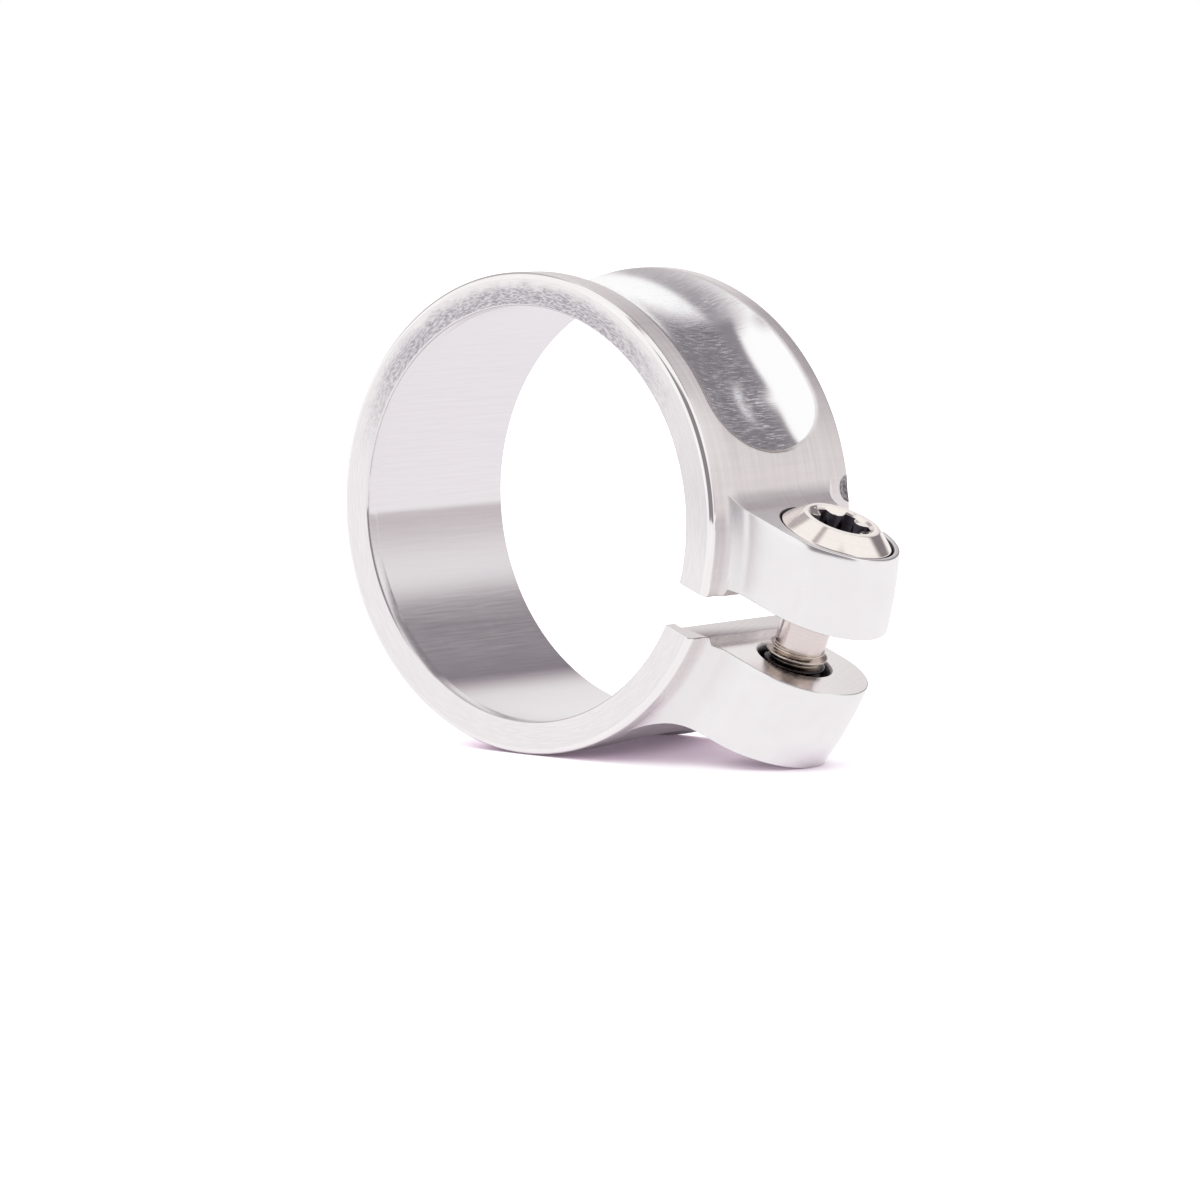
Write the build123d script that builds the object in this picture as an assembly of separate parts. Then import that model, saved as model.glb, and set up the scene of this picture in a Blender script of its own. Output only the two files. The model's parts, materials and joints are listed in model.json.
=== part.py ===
from build123d import *
import math
import os

# Seatpost clamp: a split collar closed by one pinch bolt. Sizes in millimetres, angles in degrees.
# The bore axis is Y, with the stop lip at the front (-Y). The origin is on that axis, half-way
# along the bore. The collar lies on its side: its band and the tip of its lower ear rest on a
# level floor, so the ears point along +X and dip below it.

# Band
bore_diameter = 35.0
bore_length = 16.8
band_wall = 2.0
front_edge_chamfer = 0.5
bore_mouth_chamfer = 0.3

# Stop lip at the front of the bore, which sits on the end of the seat tube
lip_height = 0.7
lip_thickness = 1.2
lip_edge_chamfer = 0.2

# Round-bottomed groove milled round the outside of the band, up to a short way from each ear's root
groove_width = 13.9
groove_depth = 1.2
groove_end_gap = 2.25

# Ears, with a turned outline that is round about the bolt at the tip
ear_reach = 30.0
ear_width = 11.4
ear_shift = 0.9
upper_ear_height = 8.75
lower_ear_height = 9.6
ear_flank_fillet = 1.5
upper_root_fillet = 2.8
lower_root_fillet = 8.0

# Slot through the band, relieved to a wider gap between the ears
slot_gap = 3.6
ear_gap = 4.74
slot_land = 0.3

# Shallow ball-nosed scallop in the band's rear edge, just past the root of the upper ear
scallop_radius = 5.4
scallop_depth = 0.15
scallop_root_gap = 0.4

# Pinch bolt
bolt_setback = 6.4
bolt_length = 16.0
thread_diameter = 5.0
thread_allowance = 0.04
thread_end_chamfer = 0.6
plain_shank_diameter = 4.1
plain_shank_length = 8.2
head_diameter = 9.1
head_rim_height = 1.5
head_cone_height = 1.2
head_top_diameter = 6.4

# Six-lobe drive socket in the bolt's head
lobe_count = 6
socket_turn = 19.0
socket_lobe_diameter = 4.9
socket_waist_diameter = 3.5
socket_flute_radius = 0.8
socket_lead_chamfer = 0.25
socket_depth = 2.2

# Holes for the bolt
counterbore_clearance = 0.1
counterbore_depth = 1.55
shank_hole_clearance = 0.15
thread_hole_clearance = 0.03
thread_countersink = 0.65

# Places worked out from the sizes above
bore_radius = bore_diameter / 2
band_radius = bore_radius + band_wall
lip_radius = bore_radius - lip_height
shoulder_y = -bore_length / 2
rear_y = bore_length / 2
front_y = shoulder_y - lip_thickness
band_width = rear_y - front_y
ear_front_y = -ear_shift - ear_width / 2
ear_rear_y = -ear_shift + ear_width / 2
ear_tip_centre = ear_reach - ear_width / 2
bolt_distance = ear_reach - bolt_setback
head_seat = upper_ear_height - counterbore_depth
upper_root_angle = math.degrees(math.asin(upper_ear_height / band_radius))
thread_hole_radius = thread_diameter / 2 + thread_hole_clearance

# The lower ear's outer corner and the band touch the same floor at this dip of the ears.
rest_tilt = math.degrees(math.asin(band_radius / ear_reach) - math.asin(lower_ear_height / ear_reach))


def across_bore(y):
    """Plane square to the bore: its X runs out along the ears, its Y up along the bolt."""
    return Plane(origin=(0, y, 0), x_dir=(1, 0, 0), z_dir=(0, -1, 0))


def across_bolt(height):
    """Plane square to the bolt, with its origin on the bolt's axis and its normal up the bolt."""
    return Plane(origin=(bolt_distance, -ear_shift, height), x_dir=(1, 0, 0), z_dir=(0, 0, 1))


def along_bolt():
    """Plane through the bolt's axis: its X runs out from the axis, its Y up along it."""
    return Plane(origin=(bolt_distance, -ear_shift, 0), x_dir=(1, 0, 0), z_dir=(0, -1, 0))


def around_band(angle, radius, y):
    """Point at an angle above the slot's mid-plane."""
    turn = math.radians(angle)
    return (radius * math.cos(turn), y, radius * math.sin(turn))


def corner(sketch, x, y):
    """Vertex of a sketch that lies nearest to a place in the sketch's own plane."""
    return sketch.sketch_local.vertices().sort_by_distance((x, y, 0))[0]


def turned_blank():
    """The band with a full ring of ear section round it, as it leaves the lathe."""
    with BuildPart() as blank:
        with BuildSketch() as profile:
            with BuildLine():
                Polyline(
                    (ear_tip_centre, ear_front_y),
                    (band_radius, ear_front_y),
                    (band_radius, front_y),
                    (lip_radius, front_y),
                    (lip_radius, shoulder_y),
                    (bore_radius, shoulder_y),
                    (bore_radius, rear_y),
                    (band_radius, rear_y),
                    (band_radius, ear_rear_y),
                    (ear_tip_centre, ear_rear_y),
                )
                ThreePointArc(
                    (ear_tip_centre, ear_front_y),
                    (ear_reach, -ear_shift),
                    (ear_tip_centre, ear_rear_y),
                )
            make_face()
            fillet([corner(profile, band_radius, y) for y in (ear_front_y, ear_rear_y)], ear_flank_fillet)
            chamfer(corner(profile, band_radius, front_y), front_edge_chamfer)
            chamfer(corner(profile, lip_radius, front_y), lip_edge_chamfer)
            chamfer(corner(profile, bore_radius, rear_y), bore_mouth_chamfer)
        revolve(axis=Axis.Y)
    return blank.part


def milled_outline():
    """What milling leaves of the ear ring: the round band and one block for both ears."""
    with BuildPart() as outline:
        with BuildSketch(across_bore(front_y)) as section:
            Circle(band_radius)
            with Locations((0, (upper_ear_height - lower_ear_height) / 2)):
                ears = (ear_reach, upper_ear_height + lower_ear_height)
                Rectangle(*ears, align=(Align.MIN, Align.CENTER))
            upper_root = (math.sqrt(band_radius**2 - upper_ear_height**2), upper_ear_height)
            lower_root = (math.sqrt(band_radius**2 - lower_ear_height**2), -lower_ear_height)
            fillet(corner(section, *upper_root), upper_root_fillet)
            fillet(corner(section, *lower_root), lower_root_fillet)
        extrude(amount=-band_width)
    return outline.part


def root_end_angle(ear_height, root_fillet):
    """Angle from the slot's mid-plane at which the fillet of an ear's root meets the band."""
    return math.degrees(math.asin((ear_height + root_fillet) / (band_radius + root_fillet)))


def groove_cutter():
    """Track of a ball that rolls round the band and stops short of each ear."""
    ball_radius = (groove_width**2 / 4 + groove_depth**2) / (2 * groove_depth)
    track_radius = band_radius - groove_depth + ball_radius
    cosine = (band_radius**2 + track_radius**2 - ball_radius**2) / (2 * band_radius * track_radius)
    ball_reach = math.degrees(math.acos(cosine))
    end_gap_angle = math.degrees(groove_end_gap / band_radius)
    first = root_end_angle(upper_ear_height, upper_root_fillet) + end_gap_angle + ball_reach
    last = 360 - (root_end_angle(lower_ear_height, lower_root_fillet) + end_gap_angle + ball_reach)
    with BuildPart() as cutter:
        with BuildSketch(Plane.XY.rotated((0, -first, 0))):
            with Locations((track_radius, 0)):
                Circle(ball_radius)
        revolve(axis=-Axis.Y, revolution_arc=last - first)
        for angle in (first, last):
            with Locations(around_band(angle, track_radius, 0)):
                Sphere(ball_radius)
        Cylinder(band_radius + groove_depth, band_width, rotation=(90, 0, 0), mode=Mode.INTERSECT)
    return cutter.part


def slot_cutter():
    """Narrow slot through the band's wall, and the wider gap between the ears."""
    with BuildPart() as cutter:
        with BuildSketch(across_bore(front_y)):
            Rectangle(ear_reach, slot_gap, align=(Align.MIN, Align.CENTER))
            with Locations((band_radius + slot_land, 0)):
                Rectangle(ear_reach, ear_gap, align=(Align.MIN, Align.CENTER))
        extrude(amount=-band_width)
    return cutter.part


def make_collar():
    with BuildPart() as collar:
        add(turned_blank())
        add(milled_outline(), mode=Mode.INTERSECT)
        add(groove_cutter(), mode=Mode.SUBTRACT)
        add(slot_cutter(), mode=Mode.SUBTRACT)
        scallop_distance = band_radius - scallop_depth + scallop_radius
        scallop_angle = upper_root_angle + math.degrees(scallop_root_gap / band_radius)
        with Locations(around_band(scallop_angle, scallop_distance, rear_y)):
            Sphere(scallop_radius, mode=Mode.SUBTRACT)
        with Locations(across_bolt(upper_ear_height)):
            CounterBoreHole(
                thread_diameter / 2 + shank_hole_clearance,
                head_diameter / 2 + counterbore_clearance,
                counterbore_depth,
                depth=upper_ear_height,
            )
        with Locations(across_bolt(-ear_gap / 2)):
            down = (Align.CENTER, Align.CENTER, Align.MAX)
            mouth_radius = thread_hole_radius + thread_countersink
            Cylinder(thread_hole_radius, lower_ear_height, align=down, mode=Mode.SUBTRACT)
            Cone(thread_hole_radius, mouth_radius, thread_countersink, align=down, mode=Mode.SUBTRACT)
    return collar.part


def socket_cutter():
    """Six-lobe socket with a conical lead-in, sunk from the top of the bolt's head."""
    top = head_seat + head_rim_height + head_cone_height
    with BuildPart() as cutter:
        with BuildSketch(across_bolt(top)):
            Circle(socket_lobe_diameter / 2)
            with PolarLocations(socket_waist_diameter / 2 + socket_flute_radius, lobe_count, socket_turn):
                Circle(socket_flute_radius, mode=Mode.SUBTRACT)
        extrude(amount=-socket_depth)
        with Locations(across_bolt(top).offset(-socket_lead_chamfer)):
            lobe_radius = socket_lobe_diameter / 2
            on_base = (Align.CENTER, Align.CENTER, Align.MIN)
            Cone(lobe_radius, lobe_radius + socket_lead_chamfer, socket_lead_chamfer, align=on_base)
    return cutter.part


def make_bolt():
    shank_radius = plain_shank_diameter / 2
    thread_radius = (thread_diameter - thread_allowance) / 2
    rim_top = head_seat + head_rim_height
    top = rim_top + head_cone_height
    thread_top = head_seat - plain_shank_length
    end = head_seat - bolt_length
    with BuildPart() as bolt:
        with BuildSketch(along_bolt()):
            with BuildLine():
                Polyline(
                    (0, top),
                    (head_top_diameter / 2, top),
                    (head_diameter / 2, rim_top),
                    (head_diameter / 2, head_seat),
                    (shank_radius, head_seat),
                    (shank_radius, thread_top),
                    (thread_radius, thread_top - (thread_radius - shank_radius)),
                    (thread_radius, end + thread_end_chamfer),
                    (thread_radius - thread_end_chamfer, end),
                    (0, end),
                    close=True,
                )
            make_face()
        revolve(axis=Axis((bolt_distance, -ear_shift, 0), (0, 0, 1)))
        add(socket_cutter(), mode=Mode.SUBTRACT)
    return bolt.part


nodes = {"clamp_collar": make_collar(), "clamp_bolt": make_bolt()}

os.makedirs("parts", exist_ok=True)
for name, solid in nodes.items():
    export_step(Rot(0, rest_tilt, 0) * solid, f"parts/{name}.step")
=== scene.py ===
import json
import math

import bmesh
import bpy
import numpy as np
from mathutils import Matrix, Vector

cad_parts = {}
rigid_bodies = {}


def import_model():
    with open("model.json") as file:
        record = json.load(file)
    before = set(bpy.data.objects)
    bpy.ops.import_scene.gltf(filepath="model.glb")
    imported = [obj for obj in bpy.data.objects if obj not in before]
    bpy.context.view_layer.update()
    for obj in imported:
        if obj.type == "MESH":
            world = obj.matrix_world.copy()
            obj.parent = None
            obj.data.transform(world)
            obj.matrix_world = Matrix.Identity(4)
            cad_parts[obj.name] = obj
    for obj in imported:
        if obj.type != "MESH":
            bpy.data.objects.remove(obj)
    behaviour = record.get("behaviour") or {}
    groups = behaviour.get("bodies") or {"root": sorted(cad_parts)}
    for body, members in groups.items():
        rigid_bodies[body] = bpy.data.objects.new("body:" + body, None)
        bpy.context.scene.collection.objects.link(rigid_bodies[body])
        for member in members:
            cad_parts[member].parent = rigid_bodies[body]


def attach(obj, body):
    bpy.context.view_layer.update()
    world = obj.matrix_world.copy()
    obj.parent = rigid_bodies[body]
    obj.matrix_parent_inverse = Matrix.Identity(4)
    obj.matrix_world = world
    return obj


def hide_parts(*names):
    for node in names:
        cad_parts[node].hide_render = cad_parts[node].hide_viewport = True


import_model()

# Seatpost clamp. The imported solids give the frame; the collar and the bolt are built again here in
# the same form, with the fine edge rounds, the groove's soft rim and the thread that the solids
# leave out. Shapes are worked out in millimetres in the ear frame: u runs out along the ears, y
# along the bore, v up along the bolt.

for spare in [item for item in bpy.data.objects if item.name in ("Cube", "Light", "Camera")]:
    bpy.data.objects.remove(spare)
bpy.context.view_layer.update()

# Metres in a millimetre
MM = 0.001

# Collar sizes
BORE_R = 17.5
BAND_R = 19.5
LIP_R = 16.8
FRONT_Y = -9.6
SHOULDER_Y = -8.4
REAR_Y = 8.4
BORE_MOUTH = 0.3
GROOVE_WIDTH = 13.9
GROOVE_DEPTH = 1.2
GROOVE_END_GAP = 2.25
EAR_REACH = 30.0
EAR_HALF_WIDTH = 5.7
EAR_MID_Y = -0.9
UPPER_EAR = 8.75
LOWER_EAR = 9.6
FLANK_FILLET = 1.5
UPPER_ROOT = 2.8
LOWER_ROOT = 8.0
SLOT_HALF = 1.8
GAP_HALF = 2.37
STEP_R = 19.8
SCALLOP_R = 5.4
SCALLOP_DEPTH = 0.15
SCALLOP_GAP = 0.4

# Edge rounds that the solids leave out
FRONT_ROUND = 0.5
LIP_ROUND = 0.22
REAR_ROUND = 0.16
FINE_ROUND = 0.1
EDGE_BREAK = 0.1
RIM_SOFTNESS = 0.055

# Bolt sizes
BOLT_U = 23.6
BOLT_Y = EAR_MID_Y
BOLT_END = -8.8
BOLT_END_CHAMFER = 0.6
THREAD_R = 2.48
THREAD_ROOT_R = 2.0
THREAD_PITCH = 0.8
THREAD_TOP = -1.0
SHANK_R = 2.05
HEAD_R = 4.55
HEAD_SEAT = 7.2
HEAD_RIM = 8.7
HEAD_TOP = 9.9
HEAD_TOP_R = 3.2
LOBE_R = 2.45
WAIST_R = 1.75
FLUTE_R = 0.8
LOBE_COUNT = 6
LOBE_SOFTNESS = 0.3
SOCKET_TURN = 19.0
SOCKET_LEAD = 0.25
SOCKET_FLOOR = 7.7

# Holes for the bolt
COUNTERBORE_R = 4.65
SHANK_HOLE_R = 2.65
THREAD_HOLE_R = 2.53
COUNTERSINK = 0.65

EAR_FRONT = EAR_MID_Y - EAR_HALF_WIDTH
EAR_REAR = EAR_MID_Y + EAR_HALF_WIDTH
TIP_CENTRE = EAR_REACH - EAR_HALF_WIDTH
FLANK_R = BAND_R + FLANK_FILLET
FRONT_FOOT = EAR_FRONT - FLANK_FILLET
REAR_FOOT = EAR_REAR + FLANK_FILLET
TILT = math.asin(BAND_R / EAR_REACH) - math.asin(LOWER_EAR / EAR_REACH)
FLOOR_Z = -BAND_R * MM

# Distances in metres: points closer than the first are one, and edges shorter than the second go
SEAM_GAP = 1e-6
SLIVER = 1e-7

# Finishes in the order of the material slots
COLLAR_FINISHES = ["face", "edge", "bore", "band", "ear", "ear_top", "slot", "hole", "scallop"]
BOLT_FINISHES = ["head", "shank", "thread", "socket"]


def to_world(points):
    """Points of the ear frame, in millimetres, in the shared frame in metres."""
    u, y, v = np.asarray(points, float).T
    x = u * math.cos(TILT) + v * math.sin(TILT)
    z = v * math.cos(TILT) - u * math.sin(TILT)
    return np.column_stack([x, y, z]) * MM


def polar(radius, angle, y):
    """Ear-frame points at a radius and an angle about the bore, the angle measured from the slot."""
    radius, angle, y = np.broadcast_arrays(radius, angle, y)
    return np.column_stack([radius * np.cos(angle), y, radius * np.sin(angle)])


def rounded(points, radii, steps=5):
    """Open line in a plane whose inner corners are rounded by the radius given for each."""
    line = []
    points = [np.array(point, float) for point in points]
    for i, radius in enumerate(radii):
        corner = points[i]
        if radius == 0:
            line.append(corner)
            continue
        back = points[i - 1] - corner
        ahead = points[i + 1] - corner
        back /= np.linalg.norm(back)
        ahead /= np.linalg.norm(ahead)
        half = math.acos(np.clip(back @ ahead, -1, 1)) / 2
        middle = (back + ahead) / np.linalg.norm(back + ahead)
        centre = corner + middle * radius / math.sin(half)
        first = corner + back * radius / math.tan(half) - centre
        last = corner + ahead * radius / math.tan(half) - centre
        sense = 1 if first[0] * last[1] - first[1] * last[0] > 0 else -1
        for k in range(steps + 1):
            turn = sense * (math.pi - 2 * half) * k / steps
            x = first[0] * math.cos(turn) - first[1] * math.sin(turn)
            y = first[0] * math.sin(turn) + first[1] * math.cos(turn)
            line.append(centre + np.array([x, y]))
    return np.array(line)


def spaced(line, count):
    """The same line with its points spread evenly along it."""
    length = np.concatenate([[0], np.cumsum(np.linalg.norm(np.diff(line, axis=0), axis=1))])
    place = np.linspace(0, length[-1], count)
    return np.column_stack([np.interp(place, length, line[:, k]) for k in range(2)])


def soft_min(a, b, softness):
    """The lower of two values, with the corner between them rounded."""
    blend = np.clip(0.5 + 0.5 * (b - a) / softness, 0, 1)
    return b + (a - b) * blend - softness * blend * (1 - blend)


def add_object(name, data):
    """New object in the scene."""
    item = bpy.data.objects.new(name, data)
    bpy.context.scene.collection.objects.link(item)
    return item


class Skin:
    """Grids of points gathered into one mesh, each face with the number of its finish."""

    def __init__(self, names):
        self.names = names
        self.points = []
        self.faces = []
        self.finishes = []
        self.count = 0

    def add(self, points):
        """Take in points, and give the number of the first."""
        start = self.count
        self.points.append(np.asarray(points, float))
        self.count += len(points)
        return start

    def grid(self, rows, finish, closed):
        """Quads between rows of points. The finish is a name, or a function of a face's centre."""
        width = len(rows[0])
        starts = [self.add(row) for row in rows]
        steps = width if closed else width - 1
        for i in range(len(rows) - 1):
            for j in range(steps):
                k = (j + 1) % width
                self.faces.append((starts[i] + j, starts[i] + k, starts[i + 1] + k, starts[i + 1] + j))
                centre = (rows[i][j] + rows[i][k] + rows[i + 1][k] + rows[i + 1][j]) / 4
                name = finish(centre) if callable(finish) else finish
                self.finishes.append(self.names.index(name))

    def polygon(self, points, finish):
        """One face with the points as its corners."""
        start = self.add(points)
        self.faces.append(tuple(range(start, start + len(points))))
        self.finishes.append(self.names.index(finish))

    def make_object(self, name, materials):
        """Object of all the faces, with the seams between grids closed."""
        mesh = bpy.data.meshes.new(name)
        mesh.from_pydata(to_world(np.vstack(self.points)).tolist(), [], self.faces)
        mesh.polygons.foreach_set("material_index", self.finishes)
        form = bmesh.new()
        form.from_mesh(mesh)
        bmesh.ops.remove_doubles(form, verts=form.verts, dist=SEAM_GAP)
        bmesh.ops.dissolve_degenerate(form, edges=form.edges, dist=SLIVER)
        bmesh.ops.recalc_face_normals(form, faces=form.faces)
        for face in form.faces:
            face.smooth = True
        form.to_mesh(mesh)
        form.free()
        for finish in self.names:
            mesh.materials.append(materials[finish])
        return add_object(name, mesh)


# Collar

INNER_LINE = [
    (BAND_R, FRONT_FOOT),
    (BAND_R, FRONT_Y),
    (LIP_R, FRONT_Y),
    (LIP_R, SHOULDER_Y),
    (BORE_R, SHOULDER_Y),
    (BORE_R, REAR_Y - BORE_MOUTH),
    (BORE_R + BORE_MOUTH, REAR_Y),
    (BAND_R, REAR_Y),
    (BAND_R, REAR_FOOT),
]
INNER_ROUNDS = [0, FRONT_ROUND, LIP_ROUND, FINE_ROUND, FINE_ROUND, FINE_ROUND, FINE_ROUND, REAR_ROUND, 0]

# How finely the collar is divided: counts of points and slices, and spacings along the band
REAR_STRIP_STEPS = 12
FLANK_STEPS = 12
FLANK_END_POINTS = 6
TIP_POINTS = 121
EAR_POINTS = 97
EAR_SLICES = 14
ROOT_SLICES = 14
TOP_ROWS = 14
FINE_SLICE = 0.13
WIDE_SLICE = 0.45
HOLE_SEGMENTS = 128
BALL_SEGMENTS = 192
BALL_RINGS = 97

# Steps of the turn over a rounded edge, and the points over which the edge of an ear's top begins
EDGE_TURNS = np.radians([0, 30, 60, 90])
EDGE_RUN_IN = 3

# Slices lean beside the ears. This share of the lean is left where the root's fillet ends, and it
# goes over the next few slices. The first strip of the band there, in radians, has its own slices.
SHEAR_LEFT = 0.5
SPREAD_SLICES = 12
ROOT_STRIP = 0.06

# Where one finish of the collar gives way to another
FACE_DEPTH = 0.01
BORE_MARGIN = 0.1
FLANK_MARGIN = 0.05
FRONT_EAR_RISE = 0.25
REAR_EAR_RISE = 1.2

# How far a cutter flares past the surface that it cuts
CUT_OVERRUN = 1.0


def inner_section():
    """Radius and y of the section from the front flank, round the bore, to the rear flank."""
    line = rounded(INNER_LINE, INNER_ROUNDS)
    strip = np.linspace(line[-2], line[-1], REAR_STRIP_STEPS)
    return np.vstack([line[:-2], strip])


def flank(reach, foot, side):
    """Section of one side of an ear, from the foot of its fillet on the band out to a radius."""
    sweep = math.acos(max(FLANK_R - reach, 0) / FLANK_FILLET)
    turn = sweep * np.arange(FLANK_STEPS + 1) / FLANK_STEPS
    radius = FLANK_R - FLANK_FILLET * np.cos(turn)
    line = np.column_stack([radius, foot + side * FLANK_FILLET * np.sin(turn)])
    if reach <= FLANK_R:
        return line
    return spaced(np.vstack([line, (reach, foot + side * FLANK_FILLET)]), FLANK_STEPS + 1)


def ear_section(reach):
    """Section of an ear from its rear flank round the tip to its front flank, evenly spaced."""
    start = math.acos(max(FLANK_R - reach, 0) / FLANK_FILLET)
    turn = np.linspace(start, math.pi / 2, FLANK_END_POINTS)
    rise = np.maximum(FLANK_R - FLANK_FILLET * np.cos(turn), reach)
    rear = np.column_stack([rise, REAR_FOOT - FLANK_FILLET * np.sin(turn)])
    front = np.column_stack([rise, FRONT_FOOT + FLANK_FILLET * np.sin(turn)])[::-1]
    swing = np.linspace(math.pi / 2, -math.pi / 2, TIP_POINTS)
    tip_r = TIP_CENTRE + EAR_HALF_WIDTH * np.cos(swing)
    tip = np.column_stack([tip_r, EAR_MID_Y + EAR_HALF_WIDTH * np.sin(swing)])
    return spaced(np.vstack([rear, tip, front]), EAR_POINTS)


def root_end(height, fillet):
    """Angle from the slot at which the fillet of an ear's root meets the band."""
    return math.asin((height + fillet) / (BAND_R + fillet))


def groove_ends():
    """Angles of the ball at both ends of the groove, with its radius and its track's radius."""
    ball = (GROOVE_WIDTH**2 / 4 + GROOVE_DEPTH**2) / (2 * GROOVE_DEPTH)
    track = BAND_R - GROOVE_DEPTH + ball
    reach = math.acos((BAND_R**2 + track**2 - ball**2) / (2 * BAND_R * track))
    gap = GROOVE_END_GAP / BAND_R
    first = root_end(UPPER_EAR, UPPER_ROOT) + gap + reach
    last = 2 * math.pi - root_end(LOWER_EAR, LOWER_ROOT) - gap - reach
    return first, last, ball, track


def band_surface(angle, y):
    """Radius of the band's outside, with the groove and its soft rim."""
    first, last, ball, track = groove_ends()
    past = np.maximum(np.maximum(first - angle, angle - last), 0)
    under = ball**2 - y**2 - (track * np.sin(past)) ** 2
    groove = track * np.cos(past) - np.sqrt(np.maximum(under, 0))
    return soft_min(np.full_like(y, BAND_R), groove, RIM_SOFTNESS)


def section_normals(section):
    """Outward normals of a closed section that runs clockwise."""
    along = np.roll(section, -1, axis=0) - np.roll(section, 1, axis=0)
    along /= np.linalg.norm(along, axis=1)[:, None]
    return np.column_stack([-along[:, 1], along[:, 0]])


def collar_finish(centre):
    """Finish of the collar at a place on its turned and milled outside."""
    u, y, v = centre
    radius = math.hypot(u, v)
    if y < FRONT_Y + FACE_DEPTH or y > REAR_Y - FACE_DEPTH:
        return "face"
    if y < FRONT_Y + FRONT_ROUND and radius > BORE_R:
        return "edge"
    if radius < BORE_R + BORE_MARGIN:
        return "bore"
    beside_ear = -LOWER_EAR < v < UPPER_EAR
    on_flank = v < 0 and not EAR_FRONT + FLANK_MARGIN < y < EAR_REAR - FLANK_MARGIN
    rise = FRONT_EAR_RISE if y < EAR_MID_Y else REAR_EAR_RISE
    if (beside_ear or on_flank) and radius > BAND_R + rise:
        return "ear"
    return "band"


def at_height(section, v):
    """A section laid into planes along the slot, at the height given for each point."""
    radius = section[:, 0]
    return np.column_stack([np.sqrt(radius**2 - v**2), section[:, 1], np.broadcast_to(v, radius.shape)])


class Ear:
    """Slices of the collar from the slot, up one ear, to the end of the fillet at its root."""

    def __init__(self, height, fillet, inner):
        self.height = height
        self.fillet = fillet
        self.inner = inner
        self.end_angle = root_end(height, fillet)
        self.fillet_u = (BAND_R + fillet) * math.cos(self.end_angle)
        self.root_reach = math.hypot(self.fillet_u, height)
        rear = flank(self.root_reach, REAR_FOOT, -1)[1:-1]
        front = flank(self.root_reach, FRONT_FOOT, 1)[1:-1][::-1]
        ear = ear_section(self.root_reach)
        self.section = np.vstack([inner, rear, ear, front])
        self.ear_range = slice(len(inner) + len(rear), len(inner) + len(rear) + len(ear))

    def block(self):
        """Slices from the slot's face up to the top of the ear, with both edges rounded."""
        radius = self.section[:, 0]
        normals = section_normals(self.section)
        foot = np.where(radius < STEP_R, SLOT_HALF, GAP_HALF)
        rows = []
        for turn in EDGE_TURNS:
            inset = self.section - normals * EDGE_BREAK * (1 - math.sin(turn))
            rows.append(at_height(inset, foot + EDGE_BREAK * (1 - math.cos(turn))))
        low = foot + EDGE_BREAK
        high = self.height - EDGE_BREAK
        for part in np.arange(1, EAR_SLICES + 1) / EAR_SLICES:
            rows.append(at_height(self.section, low + (high - low) * part))
        share = np.zeros(len(radius))
        count = np.arange(EAR_POINTS)
        share[self.ear_range] = np.clip(np.minimum(count, count[::-1]) / EDGE_RUN_IN, 0, 1)
        for turn in EDGE_TURNS[1:]:
            inset = self.section - normals * (EDGE_BREAK * (1 - math.cos(turn)) * share)[:, None]
            v = np.full(len(radius), self.height - EDGE_BREAK * (1 - math.sin(turn)))
            rows.append(at_height(inset, v))
        return rows

    def root(self):
        """Slices up the fillet between the top of the ear and the band."""
        rows = []
        radius = self.inner[:, 0]
        start = np.arcsin(self.height / radius)
        band_start = math.asin(self.height / BAND_R)
        stop = self.end_angle + SHEAR_LEFT * (start - band_start)
        share = np.arange(FLANK_STEPS + 1) / FLANK_STEPS
        for part in np.arange(ROOT_SLICES + 1) / ROOT_SLICES:
            turn = 1.5 * math.pi + (self.end_angle - math.pi / 2) * part
            u = self.fillet_u + self.fillet * math.cos(turn)
            v = self.height + self.fillet + self.fillet * math.sin(turn)
            reach = min(max(math.hypot(u, v), BAND_R), self.root_reach)
            angle = math.atan2(v, u)
            inner = polar(radius, start + (stop - start) * part, self.inner[:, 1])
            lag = (self.end_angle - band_start) * part
            lead = angle - math.asin(self.height / reach)
            sides = []
            for foot, side in ((REAR_FOOT, -1), (FRONT_FOOT, 1)):
                line = flank(reach, foot, side)
                swing = np.arcsin(self.height / line[:, 0]) + lag + (lead - lag) * share
                sides.append(polar(line[:, 0], swing, line[:, 1]))
            across = np.linspace(sides[0][-1, 1], sides[1][-1, 1], EAR_POINTS)
            rows.append(np.vstack([inner, sides[0][1:-1], polar(reach, angle, across), sides[1][1:-1][::-1]]))
        return rows


def top_rows(edge, root):
    """Rows across the flat top of an ear, from its edge to the start of the fillet."""
    return [edge + (root - edge) * part for part in np.arange(TOP_ROWS + 1) / TOP_ROWS]


def ring_angles(start, stop):
    """Angles of the band's slices, closer together where the groove ends."""
    first, last, _, _ = groove_ends()
    places = [start, start + ROOT_STRIP, first, last, stop - ROOT_STRIP, stop]
    angles = [start]
    for low, high in zip(places, places[1:]):
        spacing = WIDE_SLICE if low == first else FINE_SLICE
        steps = math.ceil((high - low) * BAND_R / spacing)
        angles.extend(low + (high - low) * (k + 1) / steps for k in range(steps))
    return angles[1:-1]


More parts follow.
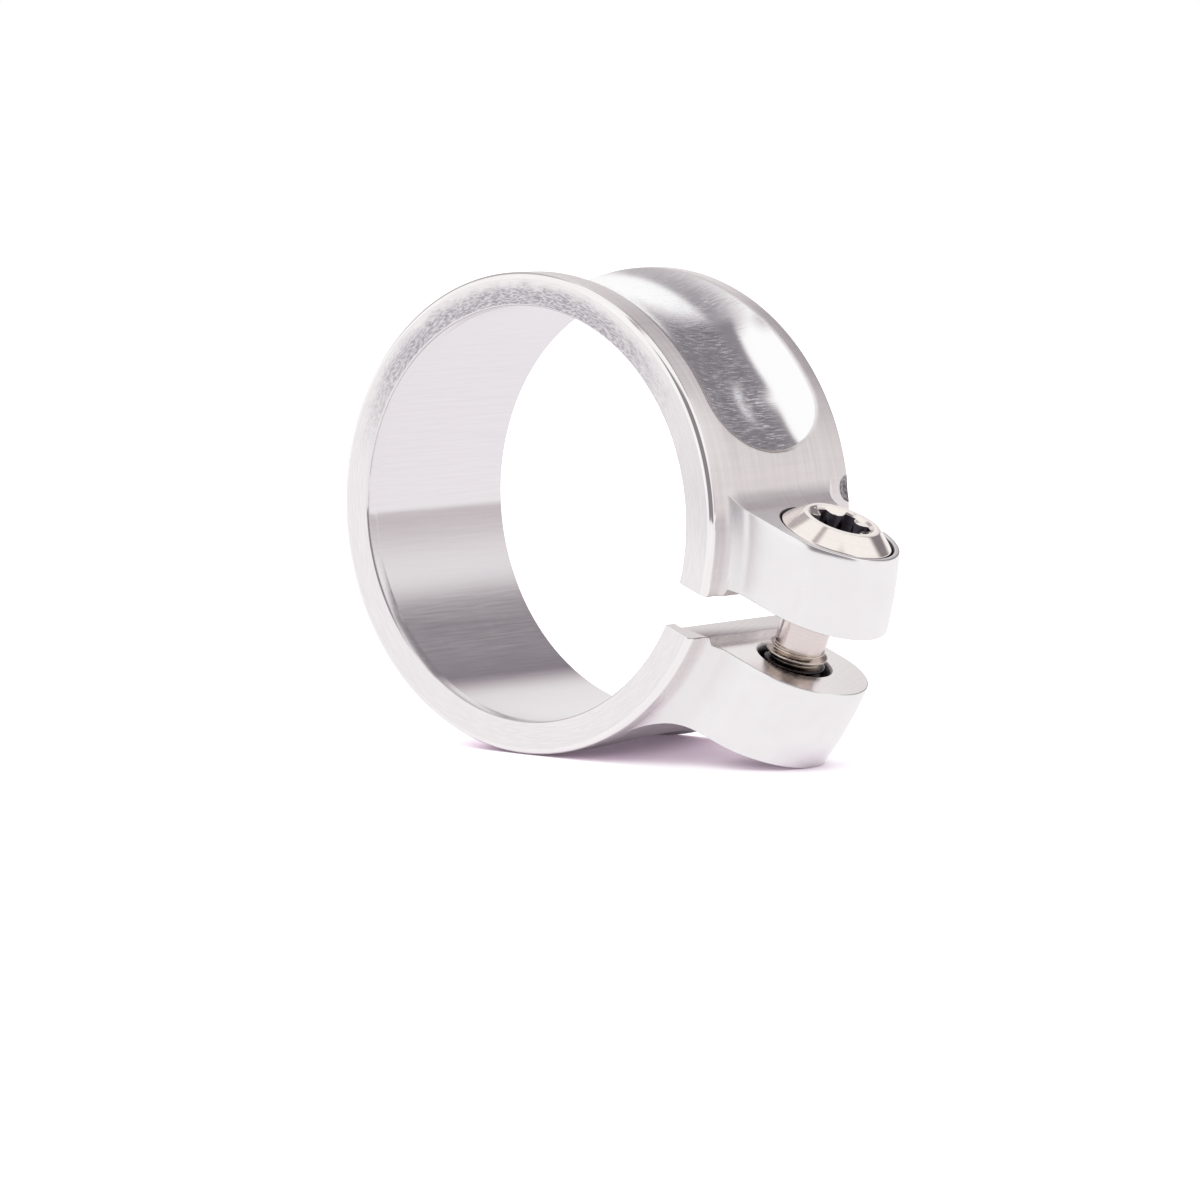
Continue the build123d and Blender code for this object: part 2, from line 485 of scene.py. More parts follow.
def ring_slices(upper, lower):
    """Slices of the band from the root of one ear to the root of the other."""
    inner = upper.inner
    radius = inner[:, 0]
    angles = ring_angles(upper.end_angle, 2 * math.pi - lower.end_angle)
    outer_count = len(upper.section) - len(inner)
    even = np.linspace(REAR_FOOT, FRONT_FOOT, outer_count + 2)[1:-1]
    bunched = np.concatenate([
        np.full(FLANK_STEPS - 1, REAR_FOOT),
        np.linspace(REAR_FOOT, FRONT_FOOT, EAR_POINTS),
        np.full(FLANK_STEPS - 1, FRONT_FOOT),
    ])
    rows = []
    for k, angle in enumerate(angles):
        from_start = k + 1
        to_end = len(angles) - k
        upper_left = SHEAR_LEFT * max(0, 1 - from_start / SPREAD_SLICES)
        lower_left = SHEAR_LEFT * max(0, 1 - to_end / SPREAD_SLICES)
        turn = np.full(len(radius), angle)
        turn += upper_left * (np.arcsin(UPPER_EAR / radius) - math.asin(UPPER_EAR / BAND_R))
        turn -= lower_left * (np.arcsin(LOWER_EAR / radius) - math.asin(LOWER_EAR / BAND_R))
        on_band = np.isclose(radius, BAND_R)
        inner_r = np.where(on_band, band_surface(angle, inner[:, 1]), radius)
        spread = min(1, min(from_start, to_end) / SPREAD_SLICES)
        y = bunched + (even - bunched) * spread
        outer = polar(band_surface(angle, y), angle, y)
        rows.append(np.vstack([polar(inner_r, turn, inner[:, 1]), outer]))
    return rows


def mirrored(rows):
    """Rows of the upper side carried to the lower side."""
    return [row * np.array([1, 1, -1]) for row in rows]


def close_slot(skin, row, section):
    """Faces of the slot: the band's end, the step to the wider gap, and the ear's inside."""
    out = np.flatnonzero(section[:, 0] >= STEP_R)
    rear, front = out[0], out[-1]
    count = len(section)
    skin.polygon(np.vstack([row[front + 1:count], row[:rear]]), "slot")
    skin.polygon(row[rear:front + 1], "slot")
    skin.polygon(row[[rear - 1, rear, front, (front + 1) % count]], "edge")


def bolt_ring(radius, v, turn):
    """Points round the bolt's axis; radius and v are numbers or one value for each turn."""
    radius, v, turn = np.broadcast_arrays(radius, v, turn)
    return np.column_stack([BOLT_U + radius * np.cos(turn), BOLT_Y + radius * np.sin(turn), v])


def turned_cutter(profile, name, materials):
    """Solid of revolution about the bolt's axis, used to cut a hole."""
    skin = Skin(COLLAR_FINISHES)
    turn = np.linspace(0, 2 * math.pi, HOLE_SEGMENTS, endpoint=False)
    rows = [bolt_ring(radius, v, turn) for radius, v in profile]
    skin.grid(rows, "hole", closed=True)
    skin.polygon(rows[0], "hole")
    skin.polygon(rows[-1], "hole")
    return skin.make_object(name, materials)


def hole_cutters(materials):
    """Cutters for the hole under the head, with its counterbore, and for the tapped hole."""
    floor_v = GAP_HALF + EDGE_BREAK
    top_v = UPPER_EAR - EDGE_BREAK
    upper = [
        (SHANK_HOLE_R + CUT_OVERRUN, floor_v - CUT_OVERRUN),
        (SHANK_HOLE_R, floor_v),
        (SHANK_HOLE_R, HEAD_SEAT),
        (COUNTERBORE_R, HEAD_SEAT),
        (COUNTERBORE_R, top_v),
        (COUNTERBORE_R + CUT_OVERRUN, top_v + CUT_OVERRUN),
    ]
    mouth_v = -GAP_HALF - COUNTERSINK
    end_v = -LOWER_EAR + EDGE_BREAK
    lower = [
        (THREAD_HOLE_R + 2 * COUNTERSINK, mouth_v + 2 * COUNTERSINK),
        (THREAD_HOLE_R, mouth_v),
        (THREAD_HOLE_R, end_v),
        (THREAD_HOLE_R + CUT_OVERRUN, end_v - CUT_OVERRUN),
    ]
    return [turned_cutter(upper, "head_hole", materials), turned_cutter(lower, "tapped_hole", materials)]


def scallop_cutter(materials):
    """Ball that cuts the scallop in the band's rear edge, beside the upper ear."""
    angle = math.asin(UPPER_EAR / BAND_R) + SCALLOP_GAP / BAND_R
    centre = polar(BAND_R - SCALLOP_DEPTH + SCALLOP_R, angle, REAR_Y)[0]
    skin = Skin(COLLAR_FINISHES)
    turn = np.linspace(0, 2 * math.pi, BALL_SEGMENTS, endpoint=False)
    rows = []
    for lift in np.linspace(-math.pi / 2, math.pi / 2, BALL_RINGS):
        ring = SCALLOP_R * math.cos(lift)
        y = np.full(len(turn), SCALLOP_R * math.sin(lift))
        rows.append(centre + np.column_stack([ring * np.cos(turn), y, ring * np.sin(turn)]))
    skin.grid(rows, "scallop", closed=True)
    return skin.make_object("scallop", materials)


def with_modifiers_applied(item):
    """The object with its modifiers made permanent."""
    item_now = item.evaluated_get(bpy.context.evaluated_depsgraph_get())
    mesh = bpy.data.meshes.new_from_object(item_now)
    item.modifiers.clear()
    item.data = mesh
    return item


def sharpen_cuts(item):
    """Stop the smooth shading where a hole or the scallop meets the rest."""
    cuts = {COLLAR_FINISHES.index("hole"), COLLAR_FINISHES.index("scallop")}
    form = bmesh.new()
    form.from_mesh(item.data)
    for edge in form.edges:
        finishes = {face.material_index for face in edge.link_faces}
        if len(finishes) > 1 and finishes & cuts:
            edge.smooth = False
    form.to_mesh(item.data)
    form.free()


def build_collar(materials):
    """Ears and band as one closed skin, then cut by the holes and the scallop."""
    inner = inner_section()
    upper = Ear(UPPER_EAR, UPPER_ROOT, inner)
    lower = Ear(LOWER_EAR, LOWER_ROOT, inner)
    skin = Skin(COLLAR_FINISHES)
    upper_block = upper.block()
    upper_root = upper.root()
    lower_block = mirrored(lower.block())
    lower_root = mirrored(lower.root())
    for ear, block, root in ((upper, upper_block, upper_root), (lower, lower_block, lower_root)):
        skin.grid(block, collar_finish, closed=True)
        skin.grid(top_rows(block[-1][ear.ear_range], root[0][ear.ear_range]), "ear_top", closed=False)
        close_slot(skin, block[0], ear.section)
    ring = ring_slices(upper, lower)
    skin.grid(upper_root + ring + lower_root[::-1], collar_finish, closed=True)
    collar = skin.make_object("collar", materials)
    cutters = hole_cutters(materials) + [scallop_cutter(materials)]
    for cutter in cutters:
        cut = collar.modifiers.new(cutter.name, "BOOLEAN")
        cut.operation = "DIFFERENCE"
        cut.solver = "EXACT"
        cut.object = cutter
    with_modifiers_applied(collar)
    for cutter in cutters:
        bpy.data.objects.remove(cutter)
    sharpen_cuts(collar)
    collar.modifiers.new("even_shading", "WEIGHTED_NORMAL").keep_sharp = True
    return with_modifiers_applied(collar)


# Bolt

BOLT_SEGMENTS = 180
THREAD_STEP = 0.05
HEAD_LINE = [
    (SHANK_R, THREAD_TOP),
    (SHANK_R, HEAD_SEAT),
    (HEAD_R, HEAD_SEAT),
    (HEAD_R, HEAD_RIM),
    (HEAD_TOP_R, HEAD_TOP),
    (LOBE_R + SOCKET_LEAD, HEAD_TOP),
    (LOBE_R, HEAD_TOP - SOCKET_LEAD),
]
HEAD_ROUNDS = [0, 0.2, 0.12, 0.2, 0.1, 0.05, 0]
FLUTE_SLOPE = 0.12
SOCKET_FLOOR_ROUND = 0.15

# Share of half a pitch that is flat at the thread's crest, and again at its root
THREAD_FLAT = 0.15


def thread_radius(v, turn):
    """Radius of a right-hand thread with flat crests, run out at both ends."""
    phase = (v / THREAD_PITCH - turn / (2 * math.pi)) % 1
    height = np.clip((np.abs(2 * phase - 1) - THREAD_FLAT) / (1 - 2 * THREAD_FLAT), 0, 1)
    radius = THREAD_ROOT_R + (THREAD_R - THREAD_ROOT_R) * height
    end_limit = THREAD_R - BOLT_END_CHAMFER + (v - BOLT_END)
    top_limit = SHANK_R + (THREAD_TOP - v)
    return np.minimum(radius, min(end_limit, top_limit))


def socket_radius(turn):
    """Radius of the six-lobe socket, its lobes and flutes meeting in soft corners."""
    pitch = 2 * math.pi / LOBE_COUNT
    swing = (turn - math.radians(SOCKET_TURN) + pitch / 2) % pitch - pitch / 2
    flute_centre = WAIST_R + FLUTE_R
    under = FLUTE_R**2 - (flute_centre * np.sin(swing)) ** 2
    flute = flute_centre * np.cos(swing) - np.sqrt(np.maximum(under, 0))
    beyond_lobes = LOBE_R + 1
    flute = np.where(under > 0, flute, beyond_lobes)
    return soft_min(np.full_like(turn, LOBE_R), flute, LOBE_SOFTNESS)


def build_bolt(materials):
    """Thread, shank, head and socket as one closed skin about the bolt's axis."""
    turn = np.linspace(0, 2 * math.pi, BOLT_SEGMENTS, endpoint=False)
    skin = Skin(BOLT_FINISHES)
    thread_v = np.arange(BOLT_END, THREAD_TOP + THREAD_STEP / 2, THREAD_STEP)
    thread = [bolt_ring(thread_radius(v, turn), v, turn) for v in thread_v]
    skin.polygon(thread[0], "thread")
    skin.grid(thread, "thread", closed=True)
    profile = rounded(HEAD_LINE, HEAD_ROUNDS)
    rings = [bolt_ring(radius, v, turn) for radius, v in profile]
    seat = int(np.argmax(np.isclose(profile[:, 1], HEAD_SEAT)))
    skin.grid([thread[-1]] + rings[:seat + 1], "shank", closed=True)
    skin.grid(rings[seat:], "head", closed=True)
    lobes = socket_radius(turn)
    lead_v = HEAD_TOP - SOCKET_LEAD
    slope = (LOBE_R - lobes) * FLUTE_SLOPE
    walls = [bolt_ring(lobes, lead_v - slope, turn)]
    skin.grid([rings[-1], walls[0]], "head", closed=True)
    walls.append(bolt_ring(lobes, SOCKET_FLOOR + SOCKET_FLOOR_ROUND, turn))
    walls.append(bolt_ring(lobes - SOCKET_FLOOR_ROUND, SOCKET_FLOOR, turn))
    skin.grid(walls, "socket", closed=True)
    skin.polygon(walls[-1], "socket")
    bolt = skin.make_object("bolt", materials)
    bolt.modifiers.new("even_shading", "WEIGHTED_NORMAL")
    return with_modifiers_applied(bolt)


# Materials

# Range in which most of a noise's values lie
NOISE_LOW = 0.3
NOISE_HIGH = 0.7
STREAK_ROUGHNESS = 0.6

# Depths of fine relief, in millimetres
TURNED_RELIEF = 0.0012
CUTTER_RELIEF = 0.0008
SPECK_RELIEF = 0.004
BALL_RELIEF = 0.008


class Tree:
    """Short ways to lay out the nodes of a material or of the world."""

    def __init__(self, owner):
        owner.use_nodes = True
        self.nodes = owner.node_tree.nodes
        self.links = owner.node_tree.links

    def put(self, value, socket):
        """Plain numbers are set on the socket, and another node's output is linked to it."""
        if isinstance(value, (int, float, tuple)):
            socket.default_value = value
        else:
            self.links.new(value, socket)

    def node(self, kind, **inputs):
        """New node, with what goes into its inputs by name."""
        node = self.nodes.new("ShaderNode" + kind)
        for name, value in inputs.items():
            self.put(value, node.inputs[name])
        return node

    def math(self, operation, first, second=0.0):
        node = self.node("Math")
        node.operation = operation
        self.put(first, node.inputs[0])
        self.put(second, node.inputs[1])
        return node.outputs[0]

    def product(self, *values):
        """All the values multiplied."""
        result = values[0]
        for value in values[1:]:
            result = self.math("MULTIPLY", result, value)
        return result

    def plus(self, value, other, weight):
        """A value plus another times its weight."""
        return self.math("ADD", value, self.product(other, weight))

    def vector(self, x, y, z=0.0):
        return self.node("CombineXYZ", X=x, Y=y, Z=z).outputs[0]

    def split(self, vector):
        return self.node("SeparateXYZ", Vector=vector).outputs

    def length(self, vector):
        node = self.node("VectorMath")
        node.operation = "LENGTH"
        self.put(vector, node.inputs[0])
        return node.outputs["Value"]

    def ease(self, value, start, stop, low=0.0, high=1.0):
        """A value carried smoothly from low, at start, to high, at stop."""
        node = self.node("MapRange", Value=value)
        node.interpolation_type = "SMOOTHSTEP"
        for name, number in (("From Min", start), ("From Max", stop), ("To Min", low), ("To Max", high)):
            node.inputs[name].default_value = number
        return node.outputs[0]

    def ramp(self, value, stops):
        """Colours at places along a value from 0 to 1."""
        node = self.node("ValToRGB", Fac=value)
        elements = node.color_ramp.elements
        while len(elements) < len(stops):
            elements.new(0.5)
        for element, (place, colour) in zip(elements, stops):
            element.position = place
            element.color = (*colour, 1)
        return node.outputs["Color"]

    def mixed(self, share, first, second):
        """A colour between two others, the second in the given share."""
        node = self.node("Mix")
        node.data_type = "RGBA"
        for name, value in (("Factor", share), ("A", first), ("B", second)):
            self.put(value, node.inputs[name])
        return node.outputs["Result"]


class Finish(Tree):
    """A bare metal, whose patterns follow the collar: u, y and v, or the radius and angle of the bore."""

    def __init__(self, name):
        self.material = bpy.data.materials.new(name)
        super().__init__(self.material)
        self.shader = self.nodes["Principled BSDF"]
        self.shader.inputs["Metallic"].default_value = 1.0
        place = self.node("TexCoord").outputs["Object"]
        tilt = self.node("Mapping", Vector=place, Rotation=(0, -TILT, 0), Scale=(1 / MM, 1 / MM, 1 / MM))
        self.point = tilt.outputs["Vector"]
        self.u, self.y, self.v = self.split(self.point)
        self.radius = self.length(self.vector(self.u, self.v))
        self.angle = self.math("ABSOLUTE", self.math("ARCTAN2", self.v, self.u))
        self.cosine = self.math("DIVIDE", self.u, self.radius)
        self.sine = self.math("DIVIDE", self.v, self.radius)

    def noise(self, vector, scale, detail=2.0, roughness=0.5):
        node = self.node("TexNoise", Vector=vector, Scale=scale, Detail=detail, Roughness=roughness)
        return node.outputs["Fac"]

    def lines(self, across, along, density, length, detail=3.0):
        """Streaks packed across one coordinate and drawn out along another."""
        place = self.vector(self.product(across, density), self.product(along, 1 / length))
        return self.noise(place, 1.0, detail, STREAK_ROUGHNESS)

    def round_bore(self, reach, third, detail):
        """Streaks that go round the bore without a seam, on a circle with a radius of reach."""
        place = self.vector(self.product(self.cosine, reach), self.product(self.sine, reach), third)
        return self.noise(place, 1.0, detail, STREAK_ROUGHNESS)

    def rings(self, across, density, length, detail=3.0):
        """Streaks packed across one coordinate and drawn out round the bore."""
        return self.round_bore(BAND_R / length, self.product(across, density), detail)

    def strokes(self, density, length, detail=3.0):
        """Streaks packed round the bore and drawn out along it."""
        return self.round_bore(BAND_R * density, self.product(self.y, 1 / length), detail)

    def blend(self, first, second, share):
        """Two values, the second in the given share."""
        return self.plus(self.product(first, 1 - share), second, share)

    def spread(self, noise, low, high):
        """A noise's values carried to a range from low to high."""
        return self.ease(noise, NOISE_LOW, NOISE_HIGH, low, high)

    def set_colour(self, colour):
        self.put(colour, self.shader.inputs["Base Color"])

    def set_roughness(self, value):
        self.put(value, self.shader.inputs["Roughness"])

    def tint(self, noise, dark, light):
        """Colour that follows a noise."""
        self.set_colour(self.ramp(noise, [(NOISE_LOW, dark), (NOISE_HIGH, light)]))

    def shade(self, value, dark, light):
        """Colour that is dark where a value is 0 and light where it is 1."""
        self.set_colour(self.ramp(value, [(0.0, dark), (1.0, light)]))

    def rough(self, noise, low, high):
        """Roughness that follows a noise."""
        self.set_roughness(self.spread(noise, low, high))

    def turned(self, amount):
        """Reflections drawn out along the bore, as the fine rings of a turned surface do."""
        self.shader.inputs["Anisotropic"].default_value = amount
        self.put(self.vector(0.0, 1.0, 0.0), self.shader.inputs["Tangent"])

    def relief(self, height, depth):
        """Fine relief, with its depth in millimetres."""
        node = self.node("Bump", Strength=1.0, Distance=depth * MM, Height=height)
        self.put(node.outputs["Normal"], self.shader.inputs["Normal"])


# Where the front face has streaks, darkened in colour as a painted dark reflection, and rougher. In radians
# about the bore: the middle of the marks, counted from the slot, and how far to each side they reach at all
# and in full. In millimetres: the same two radii.
MARKS_ANGLE = 2.08
MARKS_HALF_WIDTH = 1.3
MARKS_FULL_WIDTH = 0.55
MARKS_OUTER_R = BAND_R - 0.05
MARKS_FULL_R = BAND_R - 1.25
MARKS_WAVER = 0.8
MARKS_ROUGHNESS = 0.13
# Painted shade: how much darker the face turns towards the upper ear
EAR_SIDE_PAINTED_SHADE = 0.18

# Colours of the band, from the brown line painted at the groove's front rim as a dark reflection to bright
# turned metal, and of the groove, from a fleck painted dark as a reflection to polish
BAND_TINTS = [
    (0.0, (0.5, 0.41, 0.36)),
    (0.8, (0.86, 0.813, 0.813)),
    (1.0, (0.95, 0.905, 0.905)),
]
GROOVE_TINTS = [
    (0.0, (0.72, 0.72, 0.755)),
    (1.0, (0.985, 0.98, 0.985)),
]
RIM_PAINTED_LINE = 0.75
POLISHED_ROUGHNESS = 0.08

# Slight crown brushed on the narrow strip of band between the front edge and the groove
CROWN_REAR = -6.2
CROWN_DROP = 0.22

# Radii between which an ear's roughness goes from that of its root to that of its tip
EAR_ROOT_R = 21.5
EAR_TIP_R = 24.5
EAR_CLOUDING = 0.06

# Slant of the cutter's marks in the slot, and how much darker in colour the land beside the bore is
CUTTER_SLANT = 0.35
LAND_DARKENING = 0.4
LAND_EDGE = 0.05

# Grease and painted shade: where the tapped hole's countersink is lighter, and the heights where the thread
# becomes so
LIGHTER_MOUTH = 0.38
HOLE_RINGS = 0.1
GREASE_AND_SHADE_LOW = -GAP_HALF + 0.05
GREASE_AND_SHADE_HIGH = -GAP_HALF + 0.45


def face_finish():
    """Front and rear faces: fine turned rings, with streaks on the inner part of one side darkened as a
    painted dark reflection, and painted shade towards the upper ear.
    """
    finish = Finish("collar_face")
    rings = finish.rings(finish.radius, density=7.0, length=1.6)
    wavering = finish.plus(finish.radius, finish.noise(finish.point, scale=0.35), MARKS_WAVER)
    streaks = finish.rings(wavering, density=10.0, length=0.5, detail=2.0)
    along_slot = finish.product(finish.cosine, math.cos(MARKS_ANGLE))
    towards_marks = finish.plus(along_slot, finish.sine, math.sin(MARKS_ANGLE))
    patchy_radius = finish.math("ADD", finish.radius, finish.noise(finish.point, scale=0.9))
    front_half = finish.ease(finish.y, 0, -1)
    zone = finish.product(
        finish.ease(towards_marks, math.cos(MARKS_HALF_WIDTH), math.cos(MARKS_FULL_WIDTH)),
        finish.ease(patchy_radius, MARKS_OUTER_R, MARKS_FULL_R),
        front_half,
    )
    # Streaks darkened in colour as a painted dark reflection
    streaks_painted_dark = finish.product(zone, finish.ease(streaks, 0.36, 0.62, 0.9, 0.25))
    # Painted shade towards the upper ear's side of the face
    ear_side = finish.product(finish.ease(finish.u, 4.0, 18.0), finish.ease(finish.v, 3.0, 9.0))
    painted_darkening = finish.plus(streaks_painted_dark, ear_side, EAR_SIDE_PAINTED_SHADE)
    value = finish.math("SUBTRACT", finish.spread(rings, 0.9, 1.0), painted_darkening)
    finish.shade(value, dark=(0.37, 0.335, 0.385), light=(0.91, 0.878, 0.878))
    finish.set_roughness(finish.plus(finish.spread(rings, 0.16, 0.24), zone, MARKS_ROUGHNESS))
    finish.relief(rings, TURNED_RELIEF)
    return finish.material


def edge_finish():
    """Rounded front edge, polished by the turning tool."""
    finish = Finish("collar_edge")
    rings = finish.rings(finish.y, density=6.0, length=3.9)
    finish.tint(rings, dark=(0.90, 0.87, 0.865), light=(0.95, 0.93, 0.925))
    finish.rough(rings, low=0.04, high=0.08)
    return finish.material


def bore_finish():
    """Bore: turned rings and fine scratches along its length, which draw reflections out sideways."""
    finish = Finish("collar_bore")
    rings = finish.rings(finish.y, density=4.0, length=12.0)
    scratches = finish.strokes(density=4.5, length=6.0)
    value = finish.blend(rings, scratches, share=0.85)
    finish.tint(value, dark=(0.82, 0.785, 0.803), light=(0.87, 0.837, 0.852))
    finish.rough(value, low=0.14, high=0.18)
    finish.turned(0.95)
    return finish.material


def band_finish():
    """Outside of the band: satin turned lines, and the bright groove with its milled flecks and brown rim
    line, whose darkness is painted dark reflection.
    """
    finish = Finish("collar_band")
    rings = finish.rings(finish.y, density=2.6, length=9.0, detail=2.0)
    turned = finish.blend(rings, finish.strokes(density=2.2, length=7.0, detail=2.0), share=0.3)
    specks = finish.strokes(density=8.0, length=1.3)

    # The groove and its front rim, by how far they lie below the band in millimetres
    depth = finish.math("SUBTRACT", BAND_R, finish.radius)
    groove = finish.ease(depth, 0.06, 0.12)
    rim = finish.product(
        finish.ease(depth, 0.05, 0.025),
        finish.ease(depth, 0.002, 0.01),
        finish.ease(finish.y, 3.0, 0.0),
    )

    # Flecks are milled speckle, darkened in colour as a painted dark reflection: they are fewer far from the
    # ears, and the groove's rear slope near the ears has none
    bright_without_flecks = finish.product(finish.ease(finish.y, 0.5, 3.0), finish.ease(finish.angle, 1.55, 1.3))
    fleck_share = finish.ease(finish.angle, 1.65, 1.4, 0.35, 1.0)
    flecks = finish.product(finish.math("SUBTRACT", groove, bright_without_flecks), fleck_share)

    # The brown line at the groove's front rim is a painted dark reflection
    clean = finish.plus(finish.spread(turned, 0.8, 1.0), rim, -RIM_PAINTED_LINE)
    # Flecks painted dark in the groove's colour
    flecks_painted_dark = finish.product(flecks, finish.ease(specks, 0.34, 0.58, 1, 0))
    groove_tint = finish.ramp(finish.math("SUBTRACT", 1.0, flecks_painted_dark), GROOVE_TINTS)
    finish.set_colour(finish.mixed(groove, finish.ramp(clean, BAND_TINTS), groove_tint))

    band_rough = finish.spread(turned, 0.36, 0.44)
    frosted = finish.product(flecks, finish.ease(specks, 0.48, 0.7, 0.05, 0.38))
    groove_rough = finish.math("ADD", POLISHED_ROUGHNESS, frosted)
    change = finish.math("SUBTRACT", groove_rough, band_rough)
    finish.set_roughness(finish.plus(band_rough, change, groove))

    crown = finish.ease(finish.y, FRONT_Y, CROWN_REAR, -CROWN_DROP, 0.0)
    band_crown = finish.product(crown, finish.math("SUBTRACT", 1.0, groove))
    finish.relief(finish.plus(band_crown, specks, SPECK_RELIEF), depth=1.0)
    return finish.material


def ear_finish(name, root_rough, tip_rough):
    """Ears: satin metal with hardly any marks."""
    finish = Finish(name)
    clouds = finish.noise(finish.point, scale=0.5)
    lines = finish.lines(finish.radius, finish.v, density=1.2, length=8.0, detail=2.0)
    value = finish.blend(clouds, lines, share=0.4)
    finish.tint(value, dark=(0.885, 0.868, 0.868), light=(0.925, 0.912, 0.912))
    satin = finish.ease(finish.radius, EAR_ROOT_R, EAR_TIP_R, root_rough, tip_rough)
    finish.set_roughness(finish.plus(satin, value, EAR_CLOUDING))
    return finish.material


def slot_finish():
    """Slot faces: straight cutter marks across the ears."""
    finish = Finish("collar_slot")
    slanted = finish.plus(finish.u, finish.y, CUTTER_SLANT)
    marks = finish.lines(slanted, finish.y, density=4.0, length=9.0)
    land = finish.ease(finish.radius, STEP_R + LAND_EDGE, STEP_R - LAND_EDGE)
    bright = finish.plus(finish.spread(marks, 0.8, 1.0), land, -LAND_DARKENING)
    finish.shade(bright, dark=(0.5, 0.455, 0.45), light=(0.985, 0.95, 0.94))
    finish.rough(marks, low=0.18, high=0.26)
    finish.relief(marks, CUTTER_RELIEF)
    return finish.material


def hole_finish():
    """Holes for the bolt, dark with grease and with painted shade in the narrow gaps round it."""
    finish = Finish("collar_hole")
    rings = finish.lines(finish.v, finish.u, density=6.0, length=4.0)
    out = finish.vector(finish.math("SUBTRACT", finish.u, BOLT_U), finish.math("SUBTRACT", finish.y, BOLT_Y))
    mouth = finish.ease(finish.length(out), THREAD_HOLE_R + LIGHTER_MOUTH, THREAD_HOLE_R + COUNTERSINK)
    lower_ear = finish.ease(finish.v, 0.5, -0.5)
    value = finish.plus(finish.product(mouth, lower_ear), rings, HOLE_RINGS)
    finish.shade(value, dark=(0.05, 0.045, 0.05), light=(0.75, 0.71, 0.71))
    finish.rough(rings, low=0.3, high=0.45)
    return finish.material


def scallop_finish():
    """Ball-milled scallop in the rear edge, rougher than the groove, dark as a painted reflection and lighter
    on the ear.
    """
    finish = Finish("collar_scallop")
    specks = finish.noise(finish.point, scale=3.6, detail=3.0, roughness=0.7)
    on_ear = finish.ease(finish.radius, BAND_R + 0.2, BAND_R + 0.9, 0.0, 0.6)
    value = finish.math("ADD", finish.ease(specks, 0.4, 0.62, 0.0, 0.4), on_ear)
    finish.shade(value, dark=(0.14, 0.125, 0.145), light=(0.9, 0.865, 0.88))
    finish.rough(specks, low=0.25, high=0.4)
    finish.relief(specks, BALL_RELIEF)
    return finish.material


def bolt_finish(name, dark, light, low, high, grease_and_shade=False):
    """Turned titanium with fine lines round the bolt, or dark with grease and painted shade where it enters
    the tapped hole.
    """
    finish = Finish(name)
    rings = finish.lines(finish.v, finish.u, density=7.0, length=6.0)
    grain = finish.noise(finish.point, scale=3.0, detail=3.0)
    value = finish.blend(rings, grain, share=0.35)
    if grease_and_shade:
        # Dark with grease and painted shade where the thread enters the tapped hole
        clean = finish.ease(finish.v, GREASE_AND_SHADE_LOW, GREASE_AND_SHADE_HIGH)
        finish.shade(finish.product(clean, finish.spread(value, 0.75, 1.0)), dark, light)
    else:
        finish.tint(value, dark, light)
    finish.rough(value, low, high)
    finish.relief(value, TURNED_RELIEF)
    return finish.material


collar_materials = {
    "face": face_finish(),
    "edge": edge_finish(),
    "bore": bore_finish(),
    "band": band_finish(),
    "ear": ear_finish("collar_ear", 0.28, 0.12),
    "ear_top": ear_finish("collar_ear_top", 0.36, 0.28),
    "slot": slot_finish(),
    "hole": hole_finish(),
    "scallop": scallop_finish(),
}
bolt_materials = {
    "head": bolt_finish("bolt_head", (0.87, 0.805, 0.765), (0.945, 0.895, 0.855), 0.07, 0.12),
    "shank": bolt_finish("bolt_shank", (0.74, 0.655, 0.635), (0.82, 0.74, 0.72), 0.12, 0.2),
    "thread": bolt_finish("bolt_thread", (0.05, 0.042, 0.045), (0.72, 0.63, 0.56), 0.14, 0.24, grease_and_shade=True),
    # Socket: near-black as painted shade in its recess
    "socket": bolt_finish("bolt_socket", (0.028, 0.024, 0.032), (0.06, 0.053, 0.066), 0.25, 0.36),
}

collar = build_collar(collar_materials)
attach(collar, "collar")
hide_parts("clamp_collar")

bolt = build_bolt(bolt_materials)
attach(bolt, "bolt")
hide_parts("clamp_bolt")

# Studio: a white tent with a few darker panels, and a white floor. Directions are in degrees:
# the swing from +Y towards +X, and the lift above the floor.

# Brightness of the darker panels, where the tent's is 1, and what the bright spot adds
BACK_PANEL = 0.25
ARCH_PANEL = 0.36
SIDE_PANEL = 0.5
CAMERA_PANEL = 0.27
BACKDROP = 0.62
SEAM = 0.5
SPOT = 0.9

# Left, right, bottom and top of a panel, each as two directions between which that side fades
SIDE_WINDOW = ((-105, -88), (-58, -48), (8, 20), (60, 72))
BACKDROP_WINDOW = ((14, 34), (62, 88), (-1.5, 0.5), (0, 28))
SPOT_WINDOW = ((11, 15), (16, 20), (24, 28), (29, 33))

# How the sides of the back panel lean: swing for each degree of lift, and lift for each of swing
BACK_LEFT_LEAN = 0.55
BACK_RIGHT_LEAN = 0.4
BACK_TOP_LEAN = 0.42

# Middle of the ring that the arch is a part of, and the heading of the panel round the camera
ARCH_SWING = -10.0
ARCH_LIFT = 8.5
CAMERA_HEADING = 133.0

TENT_TINTS = [
    (0.0, (0.0, 0.0, 0.0)),
    (0.3, (0.305, 0.28, 0.305)),
    (0.65, (0.66, 0.625, 0.635)),
    (1.0, (1.0, 1.0, 1.0)),
]

# Floor: its edges in metres, its own glow, and the shadow painted from ambient occlusion close under the
# metal, as the camera sees it and as the metal mirrors it. Each range runs from a shut-in place to an open
# one.
FLOOR_FAR = 40.0
FLOOR_FRONT = 0.33
FLOOR_GLOW = 0.5
